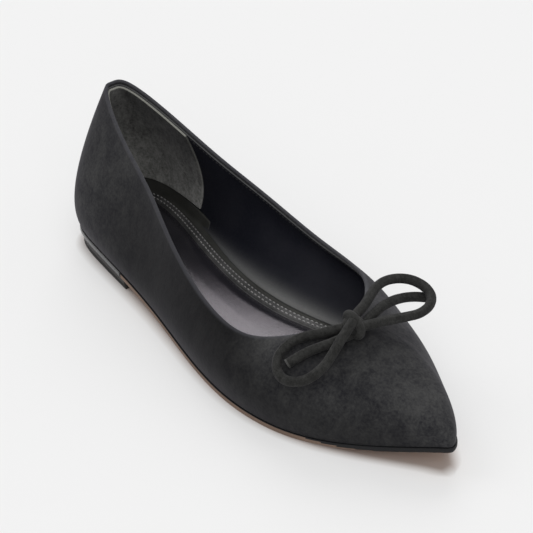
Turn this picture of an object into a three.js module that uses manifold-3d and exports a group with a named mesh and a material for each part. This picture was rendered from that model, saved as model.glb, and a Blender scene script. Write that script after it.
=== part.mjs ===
// A woman's pointed flat shoe with a cord bow, the right shoe of a pair, standing on its sole.
// Millimetres, +X to the toe, +Y to the big-toe side, +Z up. The form is worked out from the back of
// the heel, at x = 0 over the floor, and the whole shoe is then set on the middle of its own box.
import * as THREE from 'three';
import { mergeVertices } from 'three/addons/utils/BufferGeometryUtils.js';
import Module from 'manifold-3d';

// Driving sizes
const LENGTH = 250; // feather line, where upper and sole meet, from the back of the heel to the toe
const BALL_WIDTH = 77; // feather line across the ball
const BACK_HEIGHT = 77; // topline at the back of the heel, over the floor
const WALL = 2.2; // suede and lining together
const GAP = 0.3; // clearance between two pieces that touch
const LINER_FIT = 0.8; // clearance of the sock and the heel grip inside the wall
const SOLE = 2.8; // thickness of the outsole
const SOLE_EDGE = 0.6; // how far the outsole shows outside the feather line
const SOLE_BEVEL = 0.8; // worked-off lower edge of outsole and top piece
const HEEL_LIFT = 6.5; // underside of the outsole over the floor, at the heel
const TOP_PIECE = 2.0; // thickness of the heel's rubber top piece
const HEEL_LENGTH = 54; // from the back of the heel to its breast
const HEEL_SET = 0.8; // how far the heel's side lies inside the outsole's
const HEEL_TAPER = 0.9; // how much the heel draws in from its top to the floor
const TOE_SPRING = 11.4; // how far the toe's tip rises from the floor
const TOE_BEND = 4.3; // how far the toe's tip swings to the big-toe side
const INSOLE = 3.4; // thickness of the sock and its board at the edge
const SOCK_RIDGE = 0.5; // height of the stitched ridge along the sock's edge
const SOCK_PAD = 1.2; // how far the padding crowns over the edge
const GRIP = 0.9; // thickness of the suede heel grip
const GRIP_TOP = 2.0; // from the topline down to the heel grip
const GRIP_LOW = 9.5; // from the feather line up to the heel grip
const CORD = 4.4; // diameter of the bow's cord
const KNOT_LONG = 7.4; // half of the knot's wrap along the shoe
const KNOT_HIGH = 5.0; // half of the knot's wrap across its thickness

// Where the sole's profile changes, as shares of the length
const PROFILE = { seatEnd: 0.10, treadStart: 0.62, treadEnd: 0.70, bendStart: 0.55 };

// Where pieces inside the shoe end, in sections of the last from the back of the heel.
// The grip's front edge leans back as it rises, and the sock stops short of back and toe.
const GRIP_REACH = { low: 2.75, high: 2.35 };
const SOCK_REACH = { back: 0.25, toe: 9.6 };

// The last, in even steps around the loop from the back of the heel to the toe.
// outer, inner: half width of the feather line to the little-toe and the big-toe side
// along: distance of the topline from the back, as a share of the length
// mouth, lean: half width of the topline and its shift to the big-toe side
// height: topline over the floor
// swell, rise: how far the wall bulges beyond the feather line, and the height of that pull
// over, drop: how far the wall lies outside the topline, and how much below it
// Heights are shares of the back height, and all other widths are shares of half the ball width.
const COLUMNS = ['outer', 'inner', 'along', 'mouth', 'lean', 'height', 'swell', 'rise', 'over', 'drop'];
const SECTIONS = [
  [0.00, 0.00, 0.016, 0.000, 0.100, 1.000, 0.230, 0.200, 0.210, 0.280],
  [0.44, 0.46, 0.030, 0.185, 0.130, 0.975, 0.235, 0.200, 0.205, 0.280],
  [0.61, 0.63, 0.118, 0.390, 0.140, 0.845, 0.190, 0.200, 0.140, 0.255],
  [0.70, 0.61, 0.230, 0.550, 0.145, 0.700, 0.145, 0.175, 0.095, 0.230],
  [0.82, 0.59, 0.340, 0.740, 0.125, 0.575, 0.120, 0.165, 0.095, 0.200],
  [1.00, 0.72, 0.470, 0.900, 0.085, 0.470, 0.130, 0.165, 0.165, 0.180],
  [1.055, 0.94, 0.580, 0.940, 0.070, 0.436, 0.120, 0.150, 0.300, 0.130],
  [0.825, 0.83, 0.640, 0.760, 0.040, 0.445, 0.090, 0.140, 0.540, 0.130],
  [0.41, 0.485, 0.685, 0.500, 0.015, 0.494, 0.055, 0.140, 0.780, 0.140],
  [0.11, 0.20, 0.720, 0.240, 0.000, 0.527, 0.047, 0.140, 0.905, 0.150],
  [0.00, 0.00, 0.748, 0.000, 0.000, 0.545, 0.045, 0.140, 0.940, 0.150],
];
const HALF_BALL = BALL_WIDTH / 2;
const STEPS = SECTIONS.length - 1; // the loop runs 0 to STEPS on the outer side, and back on the inner
const LOOP = 2 * STEPS;

// The bow's cord, as points from the middle of the throat: forward, to the big-toe side, up
const OUTER_LOOP = [
  [-2.0, -7.0, 1.5], [-5.5, -12.5, 0.0], [-9.0, -17.5, -1.3], [-11.7, -22.5, -3.0],
  [-12.5, -27.5, -5.1], [-11.6, -32.0, -7.6], [-8.8, -35.0, -10.1], [-5.0, -36.2, -11.9],
  [-0.8, -35.6, -12.4], [3.4, -33.2, -11.6], [6.8, -29.6, -9.4], [8.4, -25.2, -6.4],
  [8.7, -20.8, -3.1], [8.0, -16.6, 0.4], [7.0, -12.6, 3.3], [5.8, -9.0, 5.0],
];
const OUTER_END = [
  [2.6, -8.6, -0.2], [1.5, -13.3, -1.1], [-0.6, -18.0, -2.4], [-2.9, -22.8, -4.2],
  [-4.8, -27.4, -6.5], [-6.4, -31.2, -8.8],
];
const INNER_LOOP = [
  [-2.6, 5.0, 5.2], [-4.8, 10.5, 5.7], [-8.0, 16.4, 6.4], [-10.8, 22.4, 6.8],
  [-11.7, 28.6, 6.6], [-10.3, 34.5, 5.8], [-7.1, 39.0, 4.6], [-2.6, 41.5, 3.1],
  [1.9, 41.6, 1.7], [5.5, 39.4, 0.7], [8.2, 35.0, 0.2], [9.3, 29.2, 0.3],
  [8.6, 23.2, 0.9], [7.5, 17.3, 1.6], [6.7, 11.4, 2.5], [6.2, 5.2, 3.4],
];
const INNER_END = [
  [1.5, 5.6, 1.6], [-0.4, 11.6, 2.3], [-2.5, 18.2, 2.2], [-3.9, 24.8, 1.4],
  [-4.2, 31.0, 0.2], [-3.5, 36.6, -1.2], [-1.6, 41.2, -2.4], [0.8, 45.0, -3.3],
];
const KNOT = [2.4, -1.6, 4.0]; // middle of the knot
const KNOT_TILT = 0.3; // the knot leans forward with the vamp, in radians
const KNOT_HEART = 1.1 * CORD; // half of the knot's heart across the shoe
const ROOT = 6.5; // how deep a strand's root reaches into the knot

// Mesh steps
const PER_SECTION = 5; // points between two sections of the loop
const AROUND = LOOP * PER_SECTION;
const OUTSIDE = [0, 0.05, 0.12, 0.20, 0.30, 0.40, 0.50, 0.60, 0.70, 0.80, 0.90, 1];
const INSIDE = [1, 0.88, 0.74, 0.60, 0.46, 0.32, 0.20, 0.10, 0];
const FLAT_START = 0.16; // below this share of its height the wall's thickness is measured level
const RIM_ROUND = 0.7; // how full the topline's rounding is, from 0, flat, to 1, a half circle
const SPLINE_PASSES = 40; // enough for the slopes of the smooth curves to settle
const HEEL_STEPS = 12;
const SOCK_STEPS = 32;
const GRIP_COLUMNS = 22;
const GRIP_ROWS = 7;
const CORD_SIDES = 10;
const CORD_STEP = 1.1 * CORD; // the loops bend tightly, so a step is short
const WRAP_STEPS = 20;
const HEART_STEPS = [14, 9];

// A row of values, one for each even step of a closed loop, as a smooth curve through all of them
function loopCurve(values) {
  const n = values.length;
  const at = (list, i) => list[(i + n) % n];
  let slopes = values.map((_, i) => (at(values, i + 1) - at(values, i - 1)) / 2);
  for (let pass = 0; pass < SPLINE_PASSES; pass++) {
    const last = slopes;
    slopes = values.map((_, i) =>
      (3 * (at(values, i + 1) - at(values, i - 1)) - at(last, i - 1) - at(last, i + 1)) / 4);
  }
  return (u) => {
    const place = ((u % n) + n) % n;
    const i = Math.floor(place);
    const f = place - i;
    const j = (i + 1) % n;
    const rise = 3 * f * f - 2 * f * f * f;
    return (1 - rise) * values[i] + rise * values[j]
      + (f * f * f - 2 * f * f + f) * slopes[i] + (f * f * f - f * f) * slopes[j];
  };
}

// One column of the table, around the loop: out along the outer side and back along the inner side
const column = (name) => SECTIONS.map((row) => row[COLUMNS.indexOf(name)]);
const roundTrip = (out, back) => loopCurve([...out, ...back.slice(1, -1).reverse()]);
const evenly = (name) => roundTrip(column(name), column(name));
const FORM = Object.fromEntries(COLUMNS.map((name) => [name, evenly(name)]));
FORM.feather = roundTrip(column('outer').map((width) => -width), column('inner'));
FORM.opening = roundTrip(column('mouth').map((width) => -width), column('mouth'));

const wrap = (u) => ((u % LOOP) + LOOP) % LOOP;
const share = (u) => (wrap(u) <= STEPS ? wrap(u) : LOOP - wrap(u)) / STEPS;
const within = (value) => Math.min(Math.max(value, 0), 1);

// Height of the feather line over the floor, by the distance from the back of the heel
function featherHeight(x) {
  const s = x / LENGTH;
  const arch = within((s - PROFILE.seatEnd) / (PROFILE.treadStart - PROFILE.seatEnd));
  const toe = within((s - PROFILE.treadEnd) / (1 - PROFILE.treadEnd));
  return SOLE + GAP + HEEL_LIFT * (1 + Math.cos(Math.PI * arch)) / 2 + TOE_SPRING * toe ** 2;
}

function toeBend(x) {
  return TOE_BEND * within((x / LENGTH - PROFILE.bendStart) / (1 - PROFILE.bendStart)) ** 2;
}

function feather(u) {
  return new THREE.Vector2(LENGTH * (1 - Math.cos(Math.PI * share(u))) / 2, HALF_BALL * FORM.feather(u));
}

function topline(u) {
  return new THREE.Vector2(LENGTH * FORM.along(u), HALF_BALL * (FORM.opening(u) + FORM.lean(u)));
}

// Level direction that points out of a loop
function outward(line, u) {
  const step = 0.02;
  const run = line(u + step).sub(line(u - step)).normalize();
  return new THREE.Vector2(run.y, -run.x);
}

// Outside of the upper: u runs around the shoe, v from the feather line up to the topline
function outside(u, v) {
  const low = feather(u);
  const high = topline(u);
  const lowOut = outward(feather, u).multiplyScalar(HALF_BALL * FORM.swell(u));
  const highOut = outward(topline, u).multiplyScalar(HALF_BALL * FORM.over(u));
  const top = BACK_HEIGHT * FORM.height(u);
  const base = featherHeight(low.x);
  const curve = new THREE.CubicBezierCurve3(
    new THREE.Vector3(low.x, low.y, base),
    new THREE.Vector3(low.x + lowOut.x, low.y + lowOut.y, base + BACK_HEIGHT * FORM.rise(u)),
    new THREE.Vector3(high.x + highOut.x, high.y + highOut.y, top - BACK_HEIGHT * FORM.drop(u)),
    new THREE.Vector3(high.x, high.y, top));
  const point = curve.getPoint(v);
  point.y += toeBend(point.x);
  return point;
}

function outsideNormal(u, v) {
  const step = 1e-3;
  const around = outside(u + step, v).sub(outside(u - step, v));
  const up = outside(u, v + step).sub(outside(u, v - step));
  return around.cross(up).normalize();
}

// A point in the wall, by its depth under the outside. At the feather line the depth is level, and
// the wall's lower edge follows the sole.
function wallPoint(u, v, depth) {
  const normal = outsideNormal(u, v);
  const level = outward((w) => new THREE.Vector2(outside(w, 0).x, outside(w, 0).y), u);
  const blend = within(v / FLAT_START);
  const direction = new THREE.Vector3(level.x, level.y, 0).lerp(normal, blend).normalize();
  const point = outside(u, v).addScaledVector(direction, -depth);
  if (v === 0) point.z = featherHeight(point.x);
  return point;
}

// Share of the wall's height at which its inside has risen or dropped by a given length
function shareAbove(u, rise) {
  const base = outside(u, 0).z;
  let v = 0;
  while (v < 1 && outside(u, v).z < base + rise) v += 0.01;
  return v;
}

function shareBelow(u, drop) {
  const top = outside(u, 1);
  let v = 1;
  while (v > 0 && outside(u, v).distanceTo(top) < drop) v -= 0.01;
  return v;
}

// Mesh building: points are kept in one list, and faces name them by number
class Skin {
  constructor() {
    this.points = [];
    this.faces = [];
  }

  row(points) {
    const first = this.points.length;
    this.points.push(...points);
    return points.map((_, i) => first + i);
  }

  quad(a, b, c, d) {
    this.faces.push([a, b, c], [a, c, d]);
  }

  band(lower, upper) {
    lower.forEach((_, i) => {
      const next = (i + 1) % lower.length;
      this.quad(lower[i], lower[next], upper[next], upper[i]);
    });
  }

  // Closes a ring by strips across it: point i on one side is joined to point n - i on the other
  cap(ring, facingUp) {
    const n = ring.length;
    const add = (...face) => this.faces.push(facingUp ? face : face.reverse());
    add(ring[0], ring[1], ring[n - 1]);
    for (let i = 1; i + 1 < n - i; i++) {
      add(ring[i], ring[i + 1], ring[n - i]);
      if (i + 1 < n - i - 1) add(ring[i + 1], ring[n - i - 1], ring[n - i]);
    }
  }

  geometry() {
    const geometry = new THREE.BufferGeometry();
    geometry.setFromPoints(this.points);
    geometry.setIndex(this.faces.flat());
    geometry.computeVertexNormals();
    return geometry;
  }
}

// A solid of closed rings, stacked upwards and capped
function stack(rings) {
  const skin = new Skin();
  const rows = rings.map((ring) => skin.row(ring));
  for (let k = 0; k + 1 < rows.length; k++) skin.band(rows[k], rows[k + 1]);
  skin.cap(rows[0], false);
  skin.cap(rows.at(-1), true);
  return skin.geometry();
}

// A solid between a front and a back sheet, each a grid of points
function slab(front, back) {
  const skin = new Skin();
  const near = front.map((line) => skin.row(line));
  const far = back.map((line) => skin.row(line));
  const rows = near.length - 1;
  const marks = near[0].length - 1;
  for (let i = 0; i < rows; i++) {
    for (let j = 0; j < marks; j++) {
      skin.quad(near[i][j], near[i + 1][j], near[i + 1][j + 1], near[i][j + 1]);
      skin.quad(far[i][j], far[i][j + 1], far[i + 1][j + 1], far[i + 1][j]);
    }
    skin.quad(far[i][0], far[i + 1][0], near[i + 1][0], near[i][0]);
    skin.quad(near[i][marks], near[i + 1][marks], far[i + 1][marks], far[i][marks]);
  }
  for (let j = 0; j < marks; j++) {
    skin.quad(near[0][j], near[0][j + 1], far[0][j + 1], far[0][j]);
    skin.quad(near[rows][j + 1], near[rows][j], far[rows][j], far[rows][j + 1]);
  }
  return skin.geometry();
}

const ring = (pointAt) => Array.from({ length: AROUND }, (_, i) => pointAt(i / PER_SECTION));

// The upper is one wall: up its outside, over the rounded topline and down its inside
function upperGeometry(clearance = 0) {
  const skin = new Skin();
  const depthIn = WALL + clearance;
  const middle = WALL / 2;
  const rim = (u) => {
    const along = outside(u, 1).sub(outside(u, 0.99)).normalize();
    return wallPoint(u, 1, middle).addScaledVector(along, middle * RIM_ROUND + clearance);
  };
  const rings = [
    ...OUTSIDE.map((v) => ring((u) => wallPoint(u, v, -clearance))),
    ring(rim),
    ...INSIDE.map((v) => ring((u) => wallPoint(u, v, depthIn))),
  ];
  const rows = rings.map((points) => skin.row(points));
  rows.forEach((row, k) => skin.band(row, rows[(k + 1) % rows.length]));
  return skin.geometry();
}

// Feather line moved out, on the sole's upper or lower face
function solePoint(u, out, under) {
  const direction = outward(feather, u);
  const point = feather(u).addScaledVector(direction, out);
  const height = featherHeight(within(point.x / LENGTH) * LENGTH) - GAP - under;
  return new THREE.Vector3(point.x, point.y + toeBend(point.x), height);
}

function outsoleGeometry() {
  return stack([
    ring((u) => solePoint(u, SOLE_EDGE - SOLE_BEVEL, SOLE)),
    ring((u) => solePoint(u, SOLE_EDGE, SOLE - SOLE_BEVEL)),
    ring((u) => solePoint(u, SOLE_EDGE, 0)),
  ]);
}

// Loop position at which the feather line is a given distance from the back of the heel
const loopAt = (x) => STEPS * Math.acos(1 - 2 * x / LENGTH) / Math.PI;

// Outline of the heel from its back to the breast, at a height over the floor
function heelRing(out, height) {
  const reach = loopAt(HEEL_LENGTH);
  const side = (sign) => Array.from({ length: HEEL_STEPS }, (_, i) => sign * reach * (i + 1) / HEEL_STEPS);
  const places = [0, ...side(1), ...side(-1).reverse()];
  return places.map((u) => {
    const point = solePoint(u, out, 0);
    return new THREE.Vector3(point.x, point.y, height(point.x));
  });
}

const underSole = (x) => featherHeight(Math.max(x, 0)) - SOLE - 2 * GAP;

function heelBlockGeometry() {
  const top = SOLE_EDGE - HEEL_SET;
  return stack([
    heelRing(top - HEEL_TAPER, () => TOP_PIECE + GAP),
    heelRing(top, (x) => underSole(x)),
  ]);
}

function topPieceGeometry() {
  const side = SOLE_EDGE - HEEL_SET - HEEL_TAPER;
  const bevel = SOLE_BEVEL / 2;
  return stack([
    heelRing(side - bevel, () => 0),
    heelRing(side, () => bevel),
    heelRing(side, () => TOP_PIECE),
  ]);
}

// The sock's height across its width: a stitched ridge along each edge, then the padding.
// place: share of the way from one edge to the other
const SOCK = [
  { place: 0.00, ridge: 0, pad: 0.0 },
  { place: 0.04, ridge: 1, pad: 0.2 },
  { place: 0.10, ridge: 1, pad: 0.3 },
  { place: 0.14, ridge: 0, pad: 0.3 },
  { place: 0.26, ridge: 0, pad: 0.9 },
  { place: 0.50, ridge: 0, pad: 1.0 },
];

function insoleGeometry() {
  const across = [...SOCK, ...SOCK.slice(0, -1).reverse().map((row) => ({ ...row, place: 1 - row.place }))];
  const { back, toe } = SOCK_REACH;
  const stations = Array.from({ length: SOCK_STEPS + 1 }, (_, i) => back + (toe - back) * i / SOCK_STEPS);
  const edge = (u, rise) => wallPoint(u, rise > 0 ? shareAbove(u, rise) : 0, WALL + LINER_FIT);
  const line = (u, rise, relief) => {
    const from = edge(u, rise);
    const to = edge(LOOP - u, rise);
    const crown = Math.min(from.distanceTo(to) / HALF_BALL, 1);
    return across.map((row) => {
      const point = from.clone().lerp(to, row.place);
      point.z = featherHeight(point.x) + rise + relief * crown * (SOCK_RIDGE * row.ridge + SOCK_PAD * row.pad);
      return point;
    });
  };
  return slab(stations.map((u) => line(u, INSOLE, 1)), stations.map((u) => line(u, 0, 0)));
}

// A thin suede patch inside the counter
function heelGripGeometry() {
  const sheet = (depth) => Array.from({ length: GRIP_COLUMNS + 1 }, (_, i) =>
    Array.from({ length: GRIP_ROWS + 1 }, (_, j) => {
      const up = j / GRIP_ROWS;
      const front = GRIP_REACH.low + (GRIP_REACH.high - GRIP_REACH.low) * up * up;
      const u = (2 * i / GRIP_COLUMNS - 1) * front;
      const low = shareAbove(u, GRIP_LOW);
      const high = shareBelow(u, GRIP_TOP);
      return wallPoint(wrap(u), low + (high - low) * up, depth);
    }));
  return slab(sheet(WALL + LINER_FIT), sheet(WALL + LINER_FIT + GRIP));
}

// A round cord with flat ends along a smooth curve through its points
function cordGeometry(points, steps) {
  const section = new THREE.Shape(Array.from({ length: CORD_SIDES }, (_, i) => {
    const turn = 2 * Math.PI * i / CORD_SIDES;
    return new THREE.Vector2(Math.cos(turn), Math.sin(turn)).multiplyScalar(CORD / 2);
  }));
  const path = new THREE.CatmullRomCurve3(points, false, 'catmullrom', 0.5);
  const count = steps ?? Math.ceil(path.getLength() / CORD_STEP);
  return new THREE.ExtrudeGeometry(section, { steps: count, bevelEnabled: false, extrudePath: path });
}

const wasm = await Module();
wasm.setup();

// Joins and cuts work on closed meshes whose corners are shared
function toSolid(geometry) {
  const bare = geometry.clone();
  bare.deleteAttribute('normal');
  bare.deleteAttribute('uv');
  const merged = mergeVertices(bare, 1e-4);
  return new wasm.Manifold(new wasm.Mesh({
    numProp: 3,
    vertProperties: Float32Array.from(merged.attributes.position.array),
    triVerts: Uint32Array.from(merged.index.array),
  }));
}

function toGeometry(solid) {
  const mesh = solid.getMesh();
  const geometry = new THREE.BufferGeometry();
  geometry.setAttribute('position', new THREE.BufferAttribute(mesh.vertProperties, 3));
  geometry.setIndex(new THREE.BufferAttribute(mesh.triVerts, 1));
  geometry.computeVertexNormals();
  return geometry;
}

// The bow hangs on the middle of the throat
const throat = outside(STEPS, 1);
const placed = (points) => points.map((point) => new THREE.Vector3(...point).add(throat));

// The knot: the strands' roots, a heart between them and one wrap of the cord around all,
// cut where it lies on the vamp
function knotGeometry(strandEnds) {
  const middle = new THREE.Vector3(...KNOT).add(throat);
  const wrapRadius = KNOT_LONG - CORD / 2;
  const wrapFlat = KNOT_HIGH / KNOT_LONG;
  const torus = new THREE.TorusGeometry(wrapRadius, CORD / 2, CORD_SIDES, WRAP_STEPS);
  torus.scale(1, wrapFlat, 1);
  torus.rotateX(Math.PI / 2);
  torus.rotateY(KNOT_TILT);
  const heart = new THREE.SphereGeometry(1, ...HEART_STEPS);
  heart.scale(wrapRadius, KNOT_HEART, wrapRadius * wrapFlat);
  heart.rotateY(KNOT_TILT);
  let knot = toSolid(torus).add(toSolid(heart)).translate(middle.toArray());
  for (const { start, direction } of strandEnds) {
    const outer = start.clone().addScaledVector(direction, -GAP);
    const inner = outer.clone().addScaledVector(direction, -ROOT);
    knot = knot.add(toSolid(cordGeometry([inner, outer], 1)));
  }
  return toGeometry(knot.subtract(toSolid(upperGeometry(GAP))));
}

// Start of a strand and the way that it leaves the knot
function strandEnd(points, last) {
  const path = new THREE.CatmullRomCurve3(points, false, 'catmullrom', 0.5);
  const at = last ? 1 : 0;
  const direction = path.getTangent(at);
  return { start: path.getPoint(at), direction: last ? direction.negate() : direction };
}

const finish = {
  suede: { color: 0x2b2b2b, roughness: 0.95, metalness: 0 },
  gripSuede: { color: 0x33322f, roughness: 0.95, metalness: 0 },
  sock: { color: 0x3d3a40, roughness: 0.5, metalness: 0 },
  sole: { color: 0xa98563, roughness: 0.6, metalness: 0 },
  heel: { color: 0x242324, roughness: 0.4, metalness: 0 },
  rubber: { color: 0x1a1a1a, roughness: 0.7, metalness: 0 },
};

function piece(name, geometry, look) {
  const mesh = new THREE.Mesh(geometry, new THREE.MeshStandardMaterial(look));
  mesh.name = name;
  return mesh;
}

const foot = new THREE.Group();
foot.add(
  piece('upper', upperGeometry(), finish.suede),
  piece('outsole', outsoleGeometry(), finish.sole),
  piece('heel_block', heelBlockGeometry(), finish.heel),
  piece('heel_top_piece', topPieceGeometry(), finish.rubber),
  piece('insole', insoleGeometry(), finish.sock),
  piece('heel_grip', heelGripGeometry(), finish.gripSuede),
);

const strands = {
  bow_loop_outer: placed(OUTER_LOOP),
  bow_loop_inner: placed(INNER_LOOP),
  bow_end_outer: placed(OUTER_END),
  bow_end_inner: placed(INNER_END),
};
const loops = [strands.bow_loop_outer, strands.bow_loop_inner];
const ends = [strands.bow_end_outer, strands.bow_end_inner];
const roots = [
  ...loops.flatMap((points) => [strandEnd(points, false), strandEnd(points, true)]),
  ...ends.map((points) => strandEnd(points, false)),
];
const bow = new THREE.Group();
bow.add(piece('bow_knot', knotGeometry(roots), finish.suede));
for (const [name, points] of Object.entries(strands)) bow.add(piece(name, cordGeometry(points), finish.suede));

// The bow counts in the part's size but not in where its middle is
const box = new THREE.Box3().setFromObject(foot);
const centre = box.getCenter(new THREE.Vector3());
const shoe = new THREE.Group();
shoe.add(foot, bow);
shoe.position.set(-centre.x, -centre.y, -box.min.z);

const flatShoe = new THREE.Group();
flatShoe.add(shoe);
export default flatShoe;
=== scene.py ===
"""A woman's pointed flat in black suede with a tied cord bow: the right shoe, standing empty.

The shoe's form is worked out from its last, as its maker's pattern is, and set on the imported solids.
Lengths are in metres, +X to the toe, +Y to the big-toe side, +Z up.
"""
import math

import bmesh
import bpy
import numpy as np
from mathutils import Matrix, Vector


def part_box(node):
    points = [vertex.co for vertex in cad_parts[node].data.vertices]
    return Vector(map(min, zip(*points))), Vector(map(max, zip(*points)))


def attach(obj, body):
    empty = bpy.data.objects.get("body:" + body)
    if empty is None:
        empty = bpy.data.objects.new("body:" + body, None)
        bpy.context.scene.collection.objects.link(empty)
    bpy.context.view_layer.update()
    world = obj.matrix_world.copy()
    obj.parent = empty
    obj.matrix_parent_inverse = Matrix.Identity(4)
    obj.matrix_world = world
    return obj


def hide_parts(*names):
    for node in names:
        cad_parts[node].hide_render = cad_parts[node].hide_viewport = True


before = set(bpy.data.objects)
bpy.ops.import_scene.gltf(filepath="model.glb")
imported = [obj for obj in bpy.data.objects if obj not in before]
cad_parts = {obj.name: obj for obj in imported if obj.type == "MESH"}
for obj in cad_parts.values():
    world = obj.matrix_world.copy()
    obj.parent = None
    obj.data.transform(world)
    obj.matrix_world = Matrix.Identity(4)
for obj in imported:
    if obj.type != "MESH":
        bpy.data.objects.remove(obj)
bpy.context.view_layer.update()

# The last
LENGTH = 0.25  # feather line, where upper and sole meet, from the back of the heel to the toe
HALF_BALL = 0.077 / 2  # half the feather line's width across the ball
BACK_HEIGHT = 0.077  # topline at the back of the heel, over the floor
GAP = 0.0003  # clearance between two solids that touch
SOLE = 0.0028  # thickness of the outsole
SOLE_EDGE = 0.0006  # how far the outsole shows outside the feather line
HEEL_LIFT = 0.0065  # underside of the outsole over the floor, at the heel
TOP_PIECE = 0.002  # thickness of the heel's rubber top piece
HEEL_LENGTH = 0.054  # from the back of the heel to its breast
HEEL_SET = 0.0008  # how far the heel's side lies inside the outsole's
HEEL_TAPER = 0.0009  # how much the heel draws in from its top to the floor
TOE_SPRING = 0.0114  # how far the toe's tip rises from the tread
TOE_BEND = 0.0043  # how far the toe's tip swings to the big-toe side
WALL = 0.0022  # suede and lining together
INSOLE = 0.0034  # thickness of the sock and its board at the edge

# Where the sole's profile changes, as shares of the length
SEAT_END = 0.1
TREAD_START = 0.62
TREAD_END = 0.7
BEND_START = 0.55

# The last in even steps from the back of the heel to the toe, as shares of its sizes.
# outer, inner: half width of the feather line to the little-toe and the big-toe side
# along: distance of the topline from the back; mouth, lean: its half width and its shift inward
# height: topline over the floor; swell, rise: the wall's bulge beyond the feather line and its height
# over, drop: how far the wall lies outside the topline, and how much below it
COLUMNS = ("outer", "inner", "along", "mouth", "lean", "height", "swell", "rise", "over", "drop")
SECTIONS = (
    (0.0, 0.0, 0.016, 0.0, 0.1, 1.0, 0.23, 0.2, 0.21, 0.28),
    (0.44, 0.46, 0.03, 0.185, 0.13, 0.975, 0.235, 0.2, 0.205, 0.28),
    (0.61, 0.63, 0.118, 0.39, 0.14, 0.845, 0.19, 0.2, 0.14, 0.255),
    (0.7, 0.61, 0.23, 0.55, 0.145, 0.7, 0.145, 0.175, 0.095, 0.23),
    (0.82, 0.59, 0.34, 0.74, 0.125, 0.575, 0.12, 0.165, 0.095, 0.2),
    (1.0, 0.72, 0.47, 0.9, 0.085, 0.47, 0.13, 0.165, 0.165, 0.18),
    (1.055, 0.94, 0.58, 0.94, 0.07, 0.436, 0.12, 0.15, 0.3, 0.13),
    (0.825, 0.83, 0.64, 0.76, 0.04, 0.445, 0.09, 0.14, 0.54, 0.13),
    (0.41, 0.485, 0.685, 0.5, 0.015, 0.494, 0.055, 0.14, 0.78, 0.14),
    (0.11, 0.2, 0.72, 0.24, 0.0, 0.527, 0.047, 0.14, 0.905, 0.15),
    (0.0, 0.0, 0.748, 0.0, 0.0, 0.545, 0.045, 0.14, 0.94, 0.15),
)
STEPS = len(SECTIONS) - 1  # the loop runs 0 to STEPS on the outer side, and back on the inner
LOOP = 2 * STEPS
FLAT_START = 0.16  # below this share of its height the wall's thickness is measured level
SPLINE_PASSES = 40  # passes in which a curve's slopes settle

# The bow's cord, and its strands' routes in millimetres: forward from the middle of the throat, to the
# big-toe side, up
CORD = 0.0044  # diameter
CORD_ROOT = 0.0065  # how deep a strand's root reaches into the knot
OUTER_LOOP = (
    (-2.0, -7.0, 1.5), (-5.5, -12.5, 0.0), (-9.0, -17.5, -1.3), (-11.7, -22.5, -3.0), (-12.5, -27.5, -5.1),
    (-11.6, -32.0, -7.6), (-8.8, -35.0, -10.1), (-5.0, -36.2, -11.9), (-0.8, -35.6, -12.4),
    (3.4, -33.2, -11.6), (6.8, -29.6, -9.4), (8.4, -25.2, -6.4), (8.7, -20.8, -3.1), (8.0, -16.6, 0.4),
    (7.0, -12.6, 3.3), (5.8, -9.0, 5.0),
)
OUTER_END = (
    (2.6, -8.6, -0.2), (1.5, -13.3, -1.1), (-0.6, -18.0, -2.4), (-2.9, -22.8, -4.2), (-4.8, -27.4, -6.5),
    (-6.4, -31.2, -8.8),
)
INNER_LOOP = (
    (-2.6, 5.0, 5.2), (-4.8, 10.5, 5.7), (-8.0, 16.4, 6.4), (-10.8, 22.4, 6.8), (-11.7, 28.6, 6.6),
    (-10.3, 34.5, 5.8), (-7.1, 39.0, 4.6), (-2.6, 41.5, 3.1), (1.9, 41.6, 1.7), (5.5, 39.4, 0.7),
    (8.2, 35.0, 0.2), (9.3, 29.2, 0.3), (8.6, 23.2, 0.9), (7.5, 17.3, 1.6), (6.7, 11.4, 2.5),
    (6.2, 5.2, 3.4),
)
INNER_END = (
    (1.5, 5.6, 1.6), (-0.4, 11.6, 2.3), (-2.5, 18.2, 2.2), (-3.9, 24.8, 1.4), (-4.2, 31.0, 0.2),
    (-3.5, 36.6, -1.2), (-1.6, 41.2, -2.4), (0.8, 45.0, -3.3),
)
KNOT = (0.0024, -0.0016, 0.004)  # middle of the knot
KNOT_LONG = 0.0074  # half of the knot's wrap along the shoe
KNOT_HIGH = 0.005  # half of the knot's wrap across its thickness
KNOT_TILT = 0.3  # the wrap leans forward with the vamp, in radians
KNOT_TURN = 0.62  # how far the wrap runs each way from its top, in turns
KNOT_DRIFT = 0.003  # how far one turn moves across the shoe

# The photograph's view
PICTURE = 533  # pixels each way
FOCAL_PIXELS = 1940.0
SENSOR = 36.0
VIEW_AZIMUTH = math.radians(50.0)
VIEW_ELEVATION = math.radians(34.2)
VIEW_DISTANCE = 1.391
AIM = (0.125, 0.0, 0.0195)  # a point inside the shoe, from the back of the heel
AIM_PIXEL = (202.6, 309.1)  # where that point lies in the photograph
MIDDLE_PIXEL = (203.7, 284.7)  # the one shoe's middle in the photograph: the camera turns to it
CLOSER = 1.6  # and draws in on the one shoe

# The studio: a white floor under soft light
FLOOR_TONE = (0.44, 0.44, 0.44, 1)
FLOOR_UNLIT = (0.5, 0.455, 0.43, 1)  # painted shade under the shoe, where the floor's glow is masked off, tinted tan for the light the tan sole throws down
FLOOR_GLOW = 0.415  # the floor is a lit table's top
WORLD_LIGHT = 0.46
STUDIO_LAMPS = (  # for each the way to it, its strength and its width in degrees
    ("studio_top", (0.1, 0.1, 1.0), 0.45, 36),
    ("studio_front", (0.6, -0.45, 0.62), 0.7, 50),
    ("studio_back", (-0.66, 0.46, 0.6), 1.15, 42),
    ("studio_heel", (-0.63, -0.35, 0.69), 0.55, 35),
)

# Mesh steps
AROUND = 480  # columns around the upper
WELD_FINE, WELD, WELD_CORD = 1e-7, 2e-6, 5e-6  # points nearer than this are one


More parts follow.
